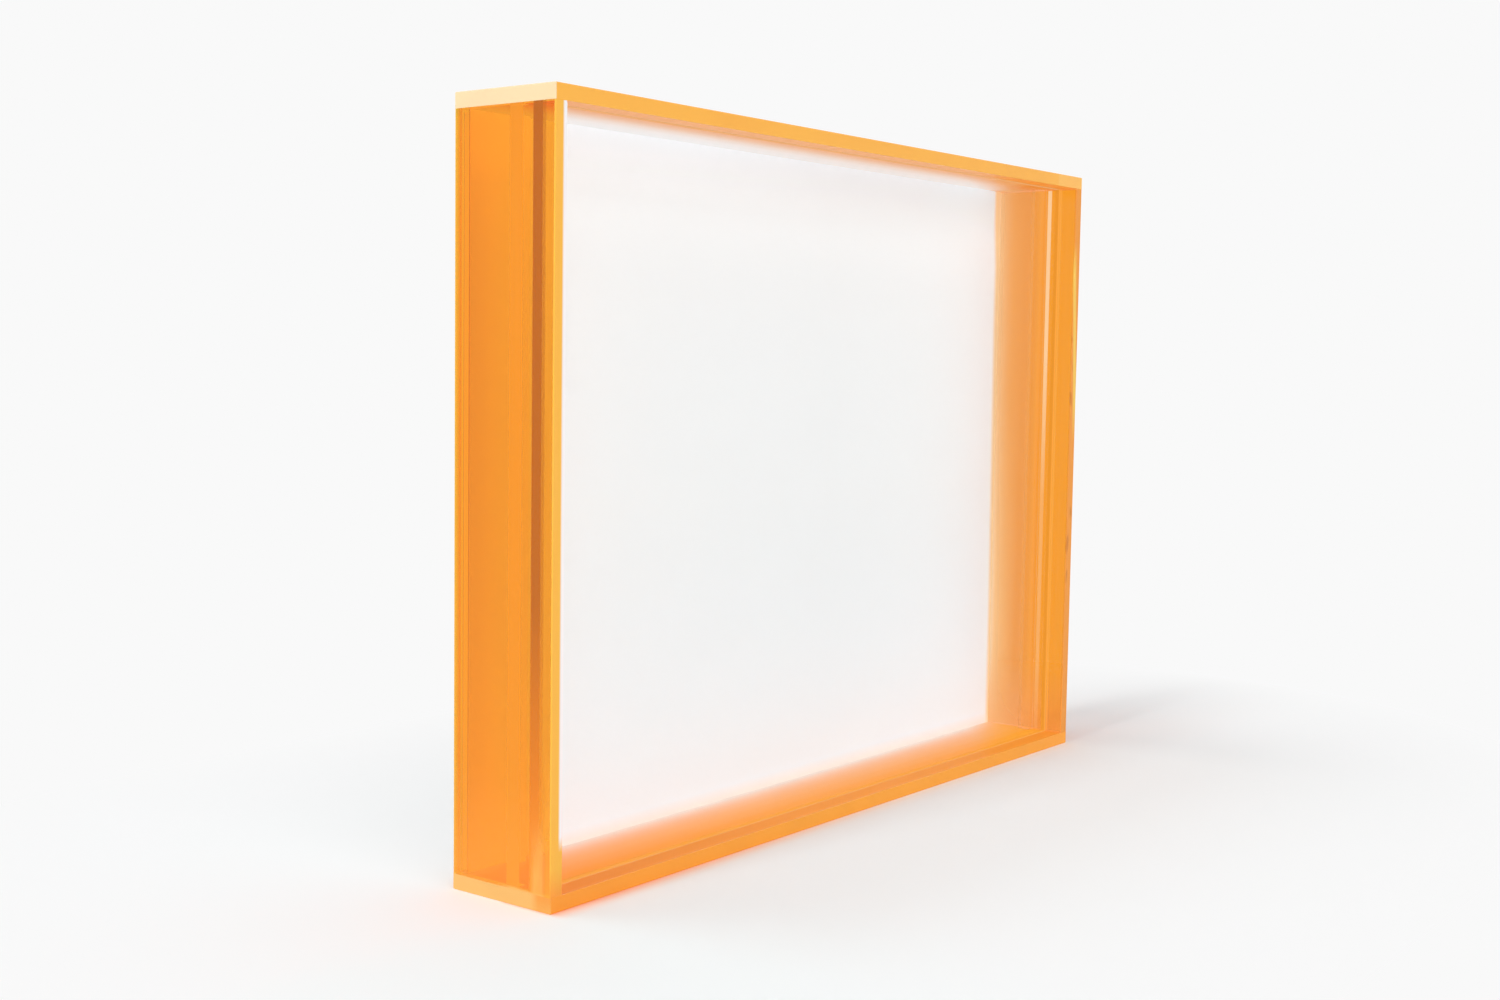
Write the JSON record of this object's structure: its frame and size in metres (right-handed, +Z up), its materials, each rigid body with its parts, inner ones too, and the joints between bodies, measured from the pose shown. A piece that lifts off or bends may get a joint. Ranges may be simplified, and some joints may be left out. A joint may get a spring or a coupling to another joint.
{
  "type": "photo frame",
  "caption": "Free-standing box photo frame of fluorescent orange acrylic sheet with a set-back clear glazing and a white insert that pulls out of the back.",
  "frame": {"origin": "middle of the footprint, on the surface that the frame stands on", "axes": "+X to the right across the front, +Y from the glazing side to the open back, +Z up"},
  "size_m": [0.212, 0.0272, 0.16],
  "materials": {
    "orange_acrylic": "transparent fluorescent orange acrylic sheet, polished faces and edges",
    "clear_acrylic": "clear colourless acrylic sheet, polished",
    "white_paper": "smooth matt white paper",
    "white_sheet": "satin white styrene sheet",
    "clear_silicone": "soft clear silicone"
  },
  "bodies": {
    "root": {"top_panel": "orange_acrylic", "bottom_panel": "orange_acrylic", "left_wall": "orange_acrylic", "right_wall": "orange_acrylic", "front_glazing": "clear_acrylic", "left_rail": "clear_acrylic", "right_rail": "clear_acrylic"},
    "insert": {"backing_panel": "white_sheet", "print_sheet": "white_paper", "grip_pad_1": "clear_silicone", "grip_pad_2": "clear_silicone", "grip_pad_3": "clear_silicone", "grip_pad_4": "clear_silicone"}
  },
  "joints": [
    {"name": "insert_slide", "type": "slide", "parent": "root", "child": "insert", "axis": [0, 1, 0], "range_m": [0, 0.04]}
  ]
}
